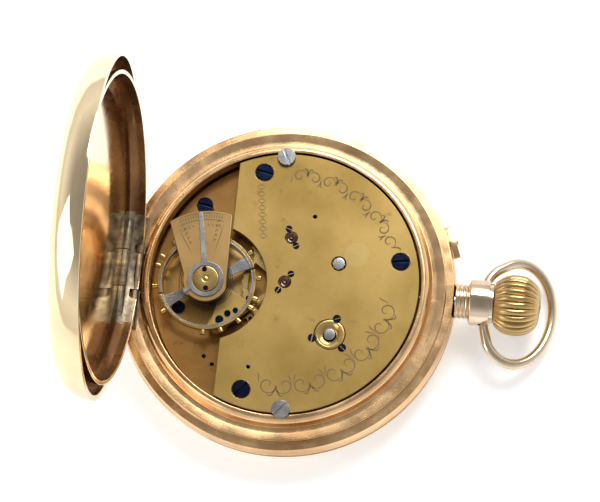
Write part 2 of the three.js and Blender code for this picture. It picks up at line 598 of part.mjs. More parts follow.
const setLever = () =>
  join(bar(SET_LEVER, polar(18.35, SET_PIN_ANGLE), 0.42, ...KEY_Z), disc(SET_LEVER, 0.8, ...KEY_Z, 14));

piece("winding_pinion", windingPinion(), steel);
piece("crown_wheel", crownWheel(), steel);
piece("ratchet_wheel", ratchetWheel(), steel);
piece("click", click(), steel);
piece("click_spring", arcStrip(CLICK, 1.0, 1.25, -150, 20, ...KEY_Z, 10), steel);
piece("set_lever", setLever(), steel);

// ---------------------------------------------------------------- motion work, dial and hands
const MOTION_Z = [4.8, 4.98];
const drivingPinion = () => cut(gear(GREAT, 14, 1.0, 1.24, ...MOTION_Z), disc(GREAT, 0.56, 4, 6, 12));
const cannonPinion = () =>
  cut(
    join(gear(CENTRE, 14, 1.0, 1.24, ...MOTION_Z), disc(CENTRE, 0.55, 3.05, 5.1, 12)),
    disc(CENTRE, 0.28, 2, 6, 8),
  );
const minuteWheel = () =>
  cut(join(gear(MINUTE, 42, 3.65, 3.9, ...MOTION_Z), gear(MINUTE, 10, 0.72, 0.97, 4.52, 4.81)),
    disc(MINUTE, 0.32, 4, 6, 10));
const hourWheel = () =>
  cut(
    join(gear(CENTRE, 40, 3.9, 4.15, 4.54, 4.7), disc(CENTRE, 0.88, 3.42, 4.6, 12)),
    disc(CENTRE, 0.62, 2, 6, 12),
  );

// A hand: tapered blade with a short tail and a hub ring.
function hand(angle, length, width, tail, hubR, boreR, z0, z1) {
  const blade = slab([[-tail, -width * 0.35], [0, -width / 2], [length, -0.08], [length, 0.08], [0, width / 2],
    [-tail, width * 0.35]], z0, z1).rotate([0, 0, angle]);
  return cut(join(blade, disc(CENTRE, hubR, z0, z1, 12)), disc(CENTRE, boreR, z0 - 1, z1 + 1, 10));
}

piece("driving_pinion", drivingPinion(), steel);
piece("cannon_pinion", cannonPinion(), steel);
piece("minute_wheel", minuteWheel(), brass);
piece("hour_wheel", hourWheel(), brass);
piece("dial", turned([[1.0, 3.9], [20.3, 3.9], [20.3, 4.4], [1.0, 4.4]]), enamel);
piece("hour_hand", hand(30, 10.5, 1.3, 1.5, 1.5, 0.93, 3.45, 3.6), blued);
piece("minute_hand", hand(132, 16.5, 1.0, 1.5, 1.3, 0.6, 3.1, 3.25), blued);
piece("seconds_hand", hand(-75, 17.5, 0.6, 5, 0.9, 0.25, 2.75, 2.87), blued);

export default root;
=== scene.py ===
"""Hunter pocket watch lying on its closed front lid, with the back cover and the dust cover standing open."""
import math

import bpy
from mathutils import Matrix, Vector


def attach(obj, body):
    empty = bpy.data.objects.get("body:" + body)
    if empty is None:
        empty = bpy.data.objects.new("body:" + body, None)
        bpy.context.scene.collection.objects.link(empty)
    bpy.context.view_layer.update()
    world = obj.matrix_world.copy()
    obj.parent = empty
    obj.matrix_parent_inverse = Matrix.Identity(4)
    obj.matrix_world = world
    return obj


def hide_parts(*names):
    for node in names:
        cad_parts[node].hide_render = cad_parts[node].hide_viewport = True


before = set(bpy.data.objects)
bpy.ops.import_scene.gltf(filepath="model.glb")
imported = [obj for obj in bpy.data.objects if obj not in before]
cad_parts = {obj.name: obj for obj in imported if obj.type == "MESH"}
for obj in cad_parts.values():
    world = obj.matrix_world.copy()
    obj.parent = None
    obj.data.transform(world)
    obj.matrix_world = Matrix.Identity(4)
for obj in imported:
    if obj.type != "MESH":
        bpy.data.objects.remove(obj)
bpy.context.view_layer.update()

MM = 0.001
TAU = 2 * math.pi
Z = Vector((0, 0, 1))

# Driving dimensions, in millimetres. A hinge's "half" and "middle" are half the lengths of the whole hinge
# and of its middle tube; "open" is its angle at rest, in degrees. Screws are (radius, angle, slot angle).
STEM_Z = 6.0
BALANCE = (-11.78, -0.88)
GREAT = (7.9, 3.5)
BARREL = (7.6, -7.6)
THIRD = (0.3, 7.0)
CENTRE = (0.0, 0.0)
ESCAPE = (-6.1, -4.0)
PALLET = (-8.625, -2.613)
BRIDGE_FOOT = (-9.6, -7.2)
BACK_HINGE = {"x": -24.3, "z": 7.3, "r": 0.7, "half": 7.4, "middle": 2.9, "open": 88.3}
DUST_HINGE = {"x": -22.6, "z": 8.25, "r": 0.6, "half": 8.7, "middle": 2.9, "open": 91.9}
LID_HINGE = {"x": -25.0, "z": 3.45, "r": 0.6, "half": 5.8, "middle": 2.0, "open": 0}
GAP = 0.05  # half the clearance between two tubes of a hinge
CASE_WALL_R = 25.85  # what sits on the case's side is cut back to this radius
DUST_TOP = 11.3  # inside of the dust cover at its centre
DUST_DOME = 0.72  # how much its inside falls towards the wall
DUST_DOME_R = 20.3  # where the inside's dome ends
PLATE_R = 20.3
PLATE_TOP = 9.2
PLATE_EDGE = -8.8
CUTOUT_R = 9.1
PLATE_SCREWS = [(17.75, 106, -12), (17.75, 14.8, 8), (17.75, 254.5, 50)]
CASE_SCREWS = [(19.8, 95, -65), (19.8, -85.5, 50)]
SET_PIN_ANGLE = 21.1
SET_PIN_Z = 4.8
PILLAR_TOP = 6.4
JEWEL_TOP = 9.18
BALANCE_Z = 9.0
BALANCE_TURN = 31
HAIRSPRING_Z = 9.55
COCK = (9.8, 10.5)  # underside and top of the cock's table
COCK_SCREW = (12.2, 97.8)  # from the balance: radius and angle
REGULATOR = (10.55, 10.75)
DIAL_MARKS = (3.885, 3.91)
DIAL_TRACK_R = 18.9
CUT_RISE = 0.004  # how far an engraved line's middle height is above the metal


# ---------------------------------------------------------------- node helpers
class Nodes:
    """A material's node tree with short ways to add and join nodes."""

    def __init__(self, name):
        self.material = bpy.data.materials.new(name)
        self.material.use_nodes = True
        self.tree = self.material.node_tree
        self.shader = self.tree.nodes["Principled BSDF"]
        self.place = self.tree.nodes.new("ShaderNodeTexCoord").outputs["Object"]

    def add(self, kind, inputs=None, **settings):
        node = self.tree.nodes.new("ShaderNode" + kind)
        for key, value in settings.items():
            setattr(node, key, value)
        for key, value in (inputs or {}).items():
            self.put(node.inputs[key], value)
        return node

    def put(self, socket, value):
        if isinstance(value, bpy.types.NodeSocket):
            self.tree.links.new(value, socket)
        else:
            socket.default_value = value

    def noise(self, scale, detail=4.0, stretch=(1, 1, 1), turn=0.0, roughness=0.55):
        """Noise with scale in features per millimetre, optionally drawn out along one direction."""
        mapped = self.add("Mapping", {"Vector": self.place, "Rotation": (0, 0, turn),
                                      "Scale": [s / MM for s in stretch]})
        return self.add("TexNoise", {"Vector": mapped.outputs[0], "Scale": scale, "Detail": detail,
                                     "Roughness": roughness}).outputs["Fac"]

    def ramp(self, value, low, high, start=0.0, end=1.0):
        """Maps low..high of a value to start..end."""
        return self.add("MapRange", {"Value": value, "From Min": low, "From Max": high,
                                     "To Min": start, "To Max": end}).outputs[0]

    def blend(self, factor, one, two):
        mix = self.add("Mix", data_type="RGBA")
        self.put(mix.inputs["Factor"], factor)
        self.put(mix.inputs["A"], one)
        self.put(mix.inputs["B"], two)
        return mix.outputs["Result"]

    def sum(self, one, two, kind="ADD"):
        return self.add("Math", {0: one, 1: two}, operation=kind).outputs[0]

    def bump(self, height, strength, distance=0.02):
        node = self.add("Bump", {"Height": height, "Strength": strength, "Distance": distance * MM})
        self.put(self.shader.inputs["Normal"], node.outputs[0])

    def set(self, **values):
        for key, value in values.items():
            self.put(self.shader.inputs[key.replace("_", " ")], value)


def rgb(red, green, blue):
    return (red, green, blue, 1.0)


def hairlines(nodes, scale=0.9):
    """Fine handling scratches in three directions, as a value from 0 to 1."""
    total = None
    for turn in (0.35, 1.45, 2.6):
        streak = nodes.noise(scale, 3.0, stretch=(0.25, 9.0, 9.0), turn=turn)
        line = nodes.ramp(streak, 0.66, 0.72)
        total = line if total is None else nodes.sum(total, line, "MAXIMUM")
    return total


def polished(name, colour, tarnish_and_painted_shade, rough=0.1, wear=0.07, lines=0.05):
    """Polished metal: faint colour drift, tarnish in patches, hairline scratches."""
    nodes = Nodes(name)
    cloud = nodes.ramp(nodes.noise(0.12, 5.0), 0.42, 0.75)
    scratch = hairlines(nodes)
    nodes.set(Metallic=1.0, Base_Color=nodes.blend(cloud, colour, tarnish_and_painted_shade))
    smear = nodes.ramp(nodes.noise(0.35, 6.0), 0.35, 0.75, rough, rough + wear)
    nodes.set(Roughness=nodes.sum(smear, nodes.sum(scratch, 0.06, "MULTIPLY")))
    nodes.bump(nodes.sum(scratch, nodes.noise(0.25, 3.0)), lines, 0.01)
    return nodes.material


def gilt(name, colour, dark, spot, rough=0.4, spots=0.5):
    """Fire-gilt brass: fine sandy grain, cloudy tone and a few brown spots."""
    nodes = Nodes(name)
    cloud = nodes.ramp(nodes.noise(0.09, 5.0), 0.35, 0.7)
    stain = nodes.ramp(nodes.noise(0.45, 7.0, roughness=0.65), 0.62, 0.74, 0.0, spots)
    base = nodes.blend(stain, nodes.blend(cloud, colour, dark), spot)
    grain = nodes.noise(14.0, 3.0)
    nodes.set(Metallic=1.0, Base_Color=base)
    nodes.set(Roughness=nodes.ramp(grain, 0.3, 0.7, rough - 0.06, rough + 0.08))
    nodes.bump(nodes.sum(grain, nodes.sum(hairlines(nodes), 0.6, "MULTIPLY")), 0.3, 0.014)
    return nodes.material


def blued_steel(name):
    nodes = Nodes(name)
    tone = nodes.ramp(nodes.noise(0.8, 3.0), 0.35, 0.7)
    colour = nodes.blend(tone, rgb(0.008, 0.011, 0.036), rgb(0.018, 0.026, 0.06))
    nodes.set(Metallic=1.0, Base_Color=colour)
    grain = nodes.noise(5.0, 2.0, stretch=(0.2, 5, 5))
    nodes.set(Roughness=nodes.ramp(grain, 0.3, 0.7, 0.16, 0.3))
    nodes.bump(grain, 0.05, 0.01)
    return nodes.material


def solder(name):
    nodes = Nodes(name)
    tone = nodes.ramp(nodes.noise(0.9, 6.0), 0.35, 0.68)
    colour = nodes.blend(tone, rgb(0.12, 0.10, 0.075), rgb(0.36, 0.29, 0.19))
    nodes.set(Metallic=1.0, Base_Color=colour)
    nodes.set(Roughness=nodes.ramp(nodes.noise(2.5, 5.0), 0.3, 0.7, 0.25, 0.55))
    nodes.bump(nodes.noise(2.2, 5.0), 0.5, 0.06)
    return nodes.material


def ruby(name):
    nodes = Nodes(name)
    tone = nodes.noise(1.5, 2.0)
    nodes.set(Base_Color=nodes.blend(tone, rgb(0.035, 0.004, 0.006), rgb(0.09, 0.008, 0.012)), Roughness=0.05)
    nodes.set(Specular_IOR_Level=0.8, Coat_Weight=0.6, Coat_Roughness=0.03)
    return nodes.material


def glass(name):
    nodes = Nodes(name)
    smear = nodes.ramp(nodes.noise(0.2, 5.0), 0.4, 0.8, 0.01, 0.05)
    nodes.set(Base_Color=rgb(0.97, 0.99, 0.99), Transmission_Weight=1.0, IOR=1.5, Roughness=smear)
    return nodes.material


def enamel(name):
    nodes = Nodes(name)
    tone = nodes.noise(0.1, 4.0)
    nodes.set(Base_Color=nodes.blend(tone, rgb(0.86, 0.86, 0.82), rgb(0.92, 0.92, 0.89)), Roughness=0.12)
    nodes.set(Coat_Weight=0.5, Coat_Roughness=0.05)
    nodes.bump(nodes.noise(0.3, 3.0), 0.04, 0.01)
    return nodes.material


def paint(name, one, two, rough):
    """A thin dark fill, such as the bottom of an engraved line or the dial's printing."""
    nodes = Nodes(name)
    nodes.set(Base_Color=nodes.blend(nodes.noise(1.2, 4.0), one, two), Roughness=rough)
    return nodes.material


# The materials, by the short names that piece() takes.
M = {
    "case": polished("case_gold", rgb(0.82, 0.54, 0.28), rgb(0.52, 0.29, 0.13),
                     rough=0.17, wear=0.16, lines=0.07),
    "crown": polished("case_gold_crown", rgb(0.53, 0.365, 0.155), rgb(0.35, 0.22, 0.08),
                      rough=0.2, wear=0.14, lines=0.06),
    "bow": polished("case_gold_bow", rgb(0.72, 0.60, 0.44), rgb(0.52, 0.38, 0.23),
                    rough=0.13, wear=0.12, lines=0.05),
    "cock": gilt("plate_gilt_cock", rgb(0.38, 0.245, 0.10), rgb(0.27, 0.17, 0.07),
                 rgb(0.12, 0.07, 0.025), rough=0.4, spots=0.9),
    "cover": polished("cover_gold", rgb(0.90, 0.72, 0.46), rgb(0.82, 0.62, 0.37),
                      rough=0.06, wear=0.06, lines=0.04),
    # Painted shade: the dust cover's inner wall gets this dark gold, tarnish and the shade that falls on that
    # wall painted together.
    "tarnish_and_painted_shade": polished("cover_gold_tarnish_and_painted_shade", rgb(0.24, 0.12, 0.05), rgb(0.10, 0.045, 0.018),
                        rough=0.2, wear=0.2, lines=0.08),
    # Painted shade: a paler dark gold for the back cover's inner wall, age and the shade that falls on that
    # wall painted together.
    "aged_and_painted_shade": polished("cover_gold_aged_and_painted_shade", rgb(0.62, 0.38, 0.18), rgb(0.38, 0.21, 0.09),
                     rough=0.22, wear=0.18, lines=0.08),
    "plate": gilt("plate_gilt", rgb(0.42, 0.285, 0.095), rgb(0.28, 0.18, 0.05), rgb(0.13, 0.075, 0.022)),
    "bed": gilt("plate_gilt_turned", rgb(0.44, 0.28, 0.10), rgb(0.32, 0.18, 0.05),
                rgb(0.14, 0.07, 0.02), rough=0.3),
    "pillar": gilt("pillar_gilt", rgb(0.34, 0.185, 0.058), rgb(0.19, 0.095, 0.028),
                   rgb(0.07, 0.03, 0.01), rough=0.36, spots=0.85),
    "brass": polished("polished_brass", rgb(0.66, 0.46, 0.17), rgb(0.46, 0.29, 0.09),
                      rough=0.16, wear=0.12),
    "dark_brass": polished("polished_brass_dark", rgb(0.16, 0.09, 0.035), rgb(0.06, 0.03, 0.012),
                           rough=0.18, wear=0.1),
    "pale": gilt("plate_gilt_pale", rgb(0.43, 0.31, 0.115), rgb(0.36, 0.25, 0.085),
                 rgb(0.24, 0.16, 0.055), rough=0.36, spots=0.3),
    "steel": polished("polished_steel", rgb(0.42, 0.42, 0.42), rgb(0.28, 0.27, 0.25),
                      rough=0.2, wear=0.16, lines=0.1),
    "blued": blued_steel("blued_steel"),
    "solder": solder("hinge_solder"),
    "ruby": ruby("ruby"),
    "glass": glass("crystal_glass"),
    "enamel": enamel("white_enamel"),
    "groove": paint("engraved_line", rgb(0.13, 0.075, 0.026), rgb(0.21, 0.13, 0.05), 0.6),
    "ink": paint("dial_print", rgb(0.012, 0.012, 0.014), rgb(0.02, 0.02, 0.024), 0.35),
}


# ---------------------------------------------------------------- shapes
def polar(radius, degrees, at=(0, 0)):
    a = math.radians(degrees)
    return (at[0] + radius * math.cos(a), at[1] + radius * math.sin(a))


def turned(along, across, degrees, at):
    """A point given along and across a direction that leaves a centre."""
    a = math.radians(degrees)
    return (at[0] + along * math.cos(a) - across * math.sin(a),
            at[1] + along * math.sin(a) + across * math.cos(a))


def arc(radius, start, end, at=(0, 0), step=3.0):
    """Points along an arc, in degrees, both ends included."""
    count = max(2, int(abs(end - start) / step) + 1)
    return [polar(radius, start + (end - start) * i / (count - 1), at) for i in range(count)]


def ring(radius, at=(0, 0), count=96):
    return [polar(radius, 360 * i / count, at) for i in range(count)]


def rounded(points, steps=5):
    """A closed outline of (a, b) or (a, b, fillet) points with each filleted corner drawn as a curve."""
    out = []
    for i, point in enumerate(points):
        fillet = point[2] if len(point) > 2 else 0
        here = Vector(point[:2])
        back = Vector(points[i - 1][:2]) - here
        ahead = Vector(points[(i + 1) % len(points)][:2]) - here
        if fillet <= 0:
            out.append(tuple(here))
            continue
        start = here + back.normalized() * min(fillet, 0.48 * back.length)
        end = here + ahead.normalized() * min(fillet, 0.48 * ahead.length)
        for k in range(steps + 1):
            t = k / steps
            out.append(tuple(start * (1 - t) ** 2 + here * 2 * t * (1 - t) + end * t * t))
    return out


def new_mesh(name, points, faces):
    mesh = bpy.data.meshes.new(name)
    mesh.from_pydata([tuple(c * MM for c in p) for p in points], [], faces)
    mesh.validate()
    return mesh


def lathe(profile, sides=192, at=(0, 0)):
    """Turns a closed profile of (radius, height) round a vertical axis."""
    outline = rounded(profile)
    points, rows = [], []
    for radius, height in outline:
        if radius < 1e-6:
            rows.append([len(points)])
            points.append((at[0], at[1], height))
            continue
        rows.append(range(len(points), len(points) + sides))
        points += [(*polar(radius, 360 * i / sides, at), height) for i in range(sides)]
    faces = []
    for k, row in enumerate(rows):
        after = rows[(k + 1) % len(rows)]
        if len(row) == 1 and len(after) == 1:
            continue
        for i in range(sides):
            j = (i + 1) % sides
            quad = [row[i % len(row)], row[j % len(row)], after[j % len(after)], after[i % len(after)]]
            faces.append(list(dict.fromkeys(quad)))
    return new_mesh("lathe", points, faces)


def flat(outlines, z0, z1, bevel=0.05, rounds=2):
    """A plate between two heights; the outlines after the first are holes. Its edges are chamfered."""
    curve = bpy.data.curves.new("plate", "CURVE")
    curve.dimensions = "2D"
    curve.fill_mode = "BOTH"
    for outline in outlines:
        spline = curve.splines.new("POLY")
        spline.points.add(len(outline) - 1)
        for point, (x, y) in zip(spline.points, outline):
            point.co = (x * MM, y * MM, 0, 1)
        spline.use_cyclic_u = True
    curve.bevel_depth = bevel * MM
    curve.bevel_resolution = rounds
    curve.offset = -bevel * MM
    curve.extrude = max((z1 - z0) / 2 - bevel, 0.001) * MM
    holder = bpy.data.objects.new("plate", curve)
    mesh = bpy.data.meshes.new_from_object(holder)
    bpy.data.objects.remove(holder)
    bpy.data.curves.remove(curve)
    mesh.transform(Matrix.Translation((0, 0, (z0 + z1) / 2 * MM)))
    return mesh


def sweep(path, radius, sides=20, closed=False):
    """A round rod along a path; radius is a number or a function of the share of the path."""
    path = [Vector(p) for p in path]
    points, faces = [], []
    normal = None
    for i, here in enumerate(path):
        ahead = path[(i + 1) % len(path)] if closed or i + 1 < len(path) else here
        behind = path[i - 1] if closed or i > 0 else here
        along = (ahead - behind).normalized()
        if normal is None:
            normal = along.orthogonal()
        normal = (normal - along * normal.dot(along)).normalized()
        across = along.cross(normal)
        size = radius(i / (len(path) - 1)) if callable(radius) else radius
        for k in range(sides):
            a = TAU * k / sides
            points.append(here + size * (math.cos(a) * normal + math.sin(a) * across))
    rows = len(path) if closed else len(path) - 1
    for i in range(rows):
        j = (i + 1) % len(path)
        for k in range(sides):
            n = (k + 1) % sides
            faces.append([i * sides + k, i * sides + n, j * sides + n, j * sides + k])
    if not closed:
        faces.append(list(range(sides))[::-1])
        faces.append([(len(path) - 1) * sides + k for k in range(sides)])
    return new_mesh("sweep", [tuple(p) for p in points], faces)


def band(path, widths, z, high):
    """A strip along level points, each with its own width, half above and half below the height z."""
    points, faces = [], []
    last = len(path) - 1
    for i, ((x, y), width) in enumerate(zip(path, widths)):
        before, after = path[max(i - 1, 0)], path[min(i + 1, last)]
        side = Vector((after[1] - before[1], before[0] - after[0]))
        if side.length < 1e-9:
            side = Vector((0, 1))
        side = side.normalized() * width / 2
        for sign, rise in ((1, -1), (1, 1), (-1, 1), (-1, -1)):
            points.append((x + sign * side.x, y + sign * side.y, z + rise * high / 2))
    for i in range(0, 4 * last, 4):
        for k in range(4):
            n = (k + 1) % 4
            faces.append([i + k, i + n, i + 4 + n, i + 4 + k])
    faces += [[3, 2, 1, 0], [4 * last + k for k in range(4)]]
    return new_mesh("band", points, faces)


def block(x0, x1, y0, y1, z0, z1):
    corners = [(x, y, z) for x in (x0, x1) for y in (y0, y1) for z in (z0, z1)]
    sides = [[0, 1, 3, 2], [4, 6, 7, 5], [0, 4, 5, 1], [2, 3, 7, 6], [0, 2, 6, 4], [1, 5, 7, 3]]
    return new_mesh("block", corners, sides)


def rod(start, end, radius, sides=48, fillet=0.0):
    """A rod between two points, its ends rounded by the fillet."""
    start, end = Vector(start), Vector(end)
    length = (end - start).length
    mesh = lathe([(0, 0), (radius, 0, fillet), (radius, length, fillet), (0, length)], sides)
    turn = Z.rotation_difference(end - start).to_matrix().to_4x4()
    mesh.transform(Matrix.Translation(start * MM) @ turn)
    return mesh


def merged(*meshes):
    """Several meshes as one, each still a closed body of its own."""
    points, faces = [], []
    for mesh in meshes:
        base = len(points)
        points += [tuple(v.co / MM) for v in mesh.vertices]
        faces += [[base + i for i in polygon.vertices] for polygon in mesh.polygons]
        bpy.data.meshes.remove(mesh)
    return new_mesh("merged", points, faces)


def boolean(mesh, tools, operation="DIFFERENCE"):
    """Cuts the tools from a mesh, or joins them to it."""
    body = bpy.data.objects.new("body", mesh)
    bpy.context.collection.objects.link(body)
    helpers = []
    for tool in tools:
        helper = bpy.data.objects.new("tool", tool)
        bpy.context.collection.objects.link(helper)
        modifier = body.modifiers.new("cut", "BOOLEAN")
        modifier.operation = operation
        modifier.solver = "EXACT"
        modifier.object = helper
        helpers.append(helper)
    result = bpy.data.meshes.new_from_object(body.evaluated_get(bpy.context.evaluated_depsgraph_get()))
    for item in [body, *helpers]:
        data = item.data
        bpy.data.objects.remove(item)
        bpy.data.meshes.remove(data)
    return result


def turned_to(mesh, matrix):
    mesh.transform(matrix)
    return mesh


def on_stem(mesh):
    """Lays a piece made upright along the stem, so that its height becomes the distance from the centre."""
    return turned_to(mesh, Matrix.Translation((0, 0, STEM_Z * MM)) @ Matrix.Rotation(math.pi / 2, 4, "Y"))


def opened(mesh, hinge):
    """Swings a cover from its closed place to its open one."""
    pivot = Matrix.Translation((hinge["x"] * MM, 0, hinge["z"] * MM))
    swing = Matrix.Rotation(-math.radians(hinge["open"]), 4, "Y")
    return turned_to(mesh, pivot @ swing @ pivot.inverted())


def piece(name, mesh, look, body, *replaces, crease=32):
    """Shows a mesh as one piece of the watch."""
    mesh.name = name
    mesh.materials.clear()
    mesh.materials.append(M[look])
    mesh.polygons.foreach_set("use_smooth", [True] * len(mesh.polygons))
    mesh.set_sharp_from_angle(angle=math.radians(crease))
    item = bpy.data.objects.new(name, mesh)
    bpy.context.collection.objects.link(item)
    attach(item, body)
    if replaces:
        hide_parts(*replaces)
    return item


# ---------------------------------------------------------------- screws and jewels
def screw_mesh(at, radius, z0, z1, slot, width=0.3, depth=0.28, bevel=0.07):
    """Flat-headed screw: a disc with two raised halves that leave the slot between them."""
    split = math.degrees(math.asin(width / 2 / radius))
    halves = [flat([arc(radius, slot + side + split, slot + side + 180 - split, at)], z1 - depth, z1, bevel)
              for side in (0, 180)]
    base = lathe([(0, z0), (radius, z0), (radius, z1 - depth + 0.01), (0, z1 - depth + 0.01)], 48, at)
    return merged(base, *halves)


def jewel(name, at, z, screws):
    """Ruby in a polished brass setting held by two small blued screws."""
    foot = z - 0.9
    setting = [(0.66, foot), (0.88, foot), (0.88, z - 0.02, 0.04), (0.8, z, 0.05), (0.66, z - 0.14, 0.06)]
    piece(name + "_setting", lathe(setting, 48, at), "dark_brass", "case", name)
    stone = [(0.25, foot), (0.66, foot), (0.66, z - 0.12, 0.05), (0.4, z - 0.16, 0.1), (0.25, z - 0.34)]
    piece(name + "_stone", lathe(stone, 48, at), "ruby", "case")
    for i, (dx, dy, slot) in enumerate(screws):
        spot = (at[0] + dx, at[1] + dy)
        piece(f"{name}_screw_{i + 1}", screw_mesh(spot, 0.52, z - 0.3, z + 0.1, slot, 0.14, 0.12, 0.04),
              "blued", "case")


# ---------------------------------------------------------------- case
def outer_knuckles(hinge, web):
    """The two outer hinge tubes with the web of solder that ties each to the case."""
    parts = []
    for side in (-1, 1):
        y0, y1 = sorted((side * (hinge["middle"] + GAP), side * hinge["half"]))
        tube = rod((hinge["x"], y0, hinge["z"]), (hinge["x"], y1, hinge["z"]), hinge["r"], 32, 0.08)
        parts += [tube, block(*web[:2], y0 + 0.02, y1 - 0.02, *web[2:])]
    return merged(*parts)


def middle_knuckle(hinge):
    y = hinge["middle"] - GAP
    return rod((hinge["x"], -y, hinge["z"]), (hinge["x"], y, hinge["z"]), hinge["r"], 32, 0.08)


def case_core():
    """A solid that fills the case, to cut what sits on its side back to its wall."""
    return lathe([(0, 0), (CASE_WALL_R, 0), (CASE_WALL_R, 12), (0, 12)], 256)


def case_middle():
    profile = [
        (21.05, 3.45, 0.1), (25.25, 3.45, 0.35), (25.8, 4.4, 0.9), (25.8, 5.7, 0.9), (25.5, 7.0, 0.14),
        (24.3, 7.0, 0.05), (24.25, 7.76, 0.16), (22.9, 7.6, 0.1), (22.2, 7.6, 0.1), (21.75, 8.85, 0.4),
        (21.2, 9.3, 0.22), (20.62, 9.3, 0.12), (20.62, 6.75), (23.3, 6.75), (23.3, 5.5), (20.62, 5.5),
        (20.62, 5.15), (21.05, 5.15),
    ]
    stem = ((22, 0, STEM_Z), (27, 0, STEM_Z))
    pin = [(*polar(r, SET_PIN_ANGLE), SET_PIN_Z) for r in (20, 27, 25.2)]
    body = boolean(lathe(profile, 256), [
        block(-27, -23.5, -7.7, 7.7, 6.15, 10), block(-23.4, -21.9, -8.9, 8.9, 7.5, 10),
        block(-27, -24.2, -6, 6, 2.6, 4.4), rod(*stem, 0.88, 32), rod(pin[0], pin[1], 0.45, 32),
        rod(pin[2], pin[1], 0.68, 32),
    ])
    piece("case_ring", body, "case", "case", "case_middle")
    piece("back_knuckles", outer_knuckles(BACK_HINGE, (-24.9, -23.4, 6.1, 7.3)), "solder", "case")
    piece("inner_knuckles", outer_knuckles(DUST_HINGE, (-23.2, -21.85, 7.4, 8.25)), "solder", "case")
    piece("lid_knuckles", outer_knuckles(LID_HINGE, (-25.0, -24.1, 3.3, 4.0)), "case", "case")


def inner_wall(face, wall_r, wall_z):
    """True for a face of a closed cover's wall that looks in toward the movement."""
    least_inward = 0.25
    outward = Vector((face.center.x, face.center.y, 0))
    height = face.center.z / MM
    if not (outward.length > wall_r * MM and wall_z[0] < height < wall_z[1]):
        return False
    return face.normal.dot(outward.normalized()) < -least_inward


def cover(name, profile, hinge, body, notch, wall_r, wall_z, wall_look):
    """A cover turned in its closed place, notched round its knuckles and swung open.

    Its inner wall, beyond wall_r and between the heights wall_z, has the look wall_look, a dark gold for
    tarnish and painted shade on that wall, and next to the hinge it has the solder's.
    """
    hinge_side = -19 * MM
    x, end, z0, z1 = notch
    y = hinge["middle"] - GAP
    shell = boolean(lathe(profile, 256), [block(-27, x, y, end, z0, z1), block(-27, x, -end, -y, z0, z1)])
    # The inward-looking wall faces, which get the wall look and with it the painted shade.
    wall = [inner_wall(face, wall_r, wall_z) for face in shell.polygons]
    near = [face.center.x < hinge_side and abs(face.center.y) < hinge["half"] * MM for face in shell.polygons]
    item = piece(name, opened(shell, hinge), "cover", body, body)
    for look in (wall_look, "solder"):
        item.data.materials.append(M[look])
    index = [on_wall * (1 + by_hinge) for on_wall, by_hinge in zip(wall, near)]
    item.data.polygons.foreach_set("material_index", index)
    piece(name + "_knuckle", opened(middle_knuckle(hinge), hinge), "solder", body)


def covers():
    cover("back_cover_shell", [
        (24.5, 7.05, 0.05), (25.35, 7.05, 0.12), (25.35, 7.9, 0.5), (25.0, 9.6, 0.9), (24.0, 11.1, 1.0),
        (22.3, 12.0, 2.2), (17, 12.65, 5.0), (0, 12.85), (0, 12.4), (16.9, 12.2, 5.0), (22.1, 11.55, 1.6),
        (23.6, 10.7, 0.8), (24.45, 9.4, 0.7), (24.7, 7.9, 0.4),
    ], BACK_HINGE, "back_cover", notch=(-22.5, 9.0, 6, 9.1), wall_r=21.8, wall_z=(7.1, 11.6),
        # This wall look paints in the shade on the back cover's inner wall.
        wall_look="aged_and_painted_shade")
    dome = [(r, DUST_TOP - DUST_DOME * (r / DUST_DOME_R) ** 2) for r in range(0, 20, 2)]
    cover("dust_cover_shell", [
        (22.2, 7.75, 0.05), (22.8, 7.75, 0.1), (22.6, 9.7, 0.7), (21.7, 11.0, 0.7), (20.3, 11.5, 1.2),
        (0, 11.7), *dome, (DUST_DOME_R, DUST_TOP - DUST_DOME, 0.3), (21.6, 10.1, 0.35), (22.15, 9.1, 0.5),
    ], DUST_HINGE, "inner_cover", notch=(-21.75, 8.9, 7, 9.0), wall_r=20.4, wall_z=(7.8, 11.15),
        # This wall look paints in the shade on the dust cover's inner wall.
        wall_look="tarnish_and_painted_shade")
    strips = [rod((-20.95, y0, 10.15), (-20.95, y1, 10.15), 0.72, 32, 0.1)
              for y0, y1 in ((-7.6, -2.95), (-2.85, 2.85), (2.95, 7.6))]
    piece("dust_cover_joint_strip", opened(merged(*strips), DUST_HINGE), "solder", "inner_cover")


def front_lid():
    def bowl(r):
        return 2.9 * ((r - 13) / 12.4) ** 2.4
    radii = [14.5, 16.5, 18.5, 20.5, 21.8, 22.8, 23.8, 24.6]
    profile = [(0, 0), (13, 0)] + [(r, bowl(r)) for r in radii]
    profile += [(25.65, 2.95, 0.4), (25.7, 3.4, 0.08), (24.9, 3.4)]
    profile += [(r - 0.1, bowl(r) + 0.5) for r in reversed(radii)] + [(13, 0.5), (0, 0.5)]
    notches = [block(-27, -23.9, y0, y0 + 3.95, 2.6, 5) for y0 in (1.95, -5.9)]
    shell = boolean(lathe(profile, 256), notches)
    piece("front_lid_shell", shell, "cover", "front_lid", "front_lid")
    outline = arc(25.4, 43.5, 54.5) + arc(26.25, 54.5, 43.5)
    piece("front_lid_lip", flat([outline], 2.95, 3.35, 0.1), "cover", "front_lid")
    piece("front_lid_knuckle", middle_knuckle(LID_HINGE), "case", "front_lid")


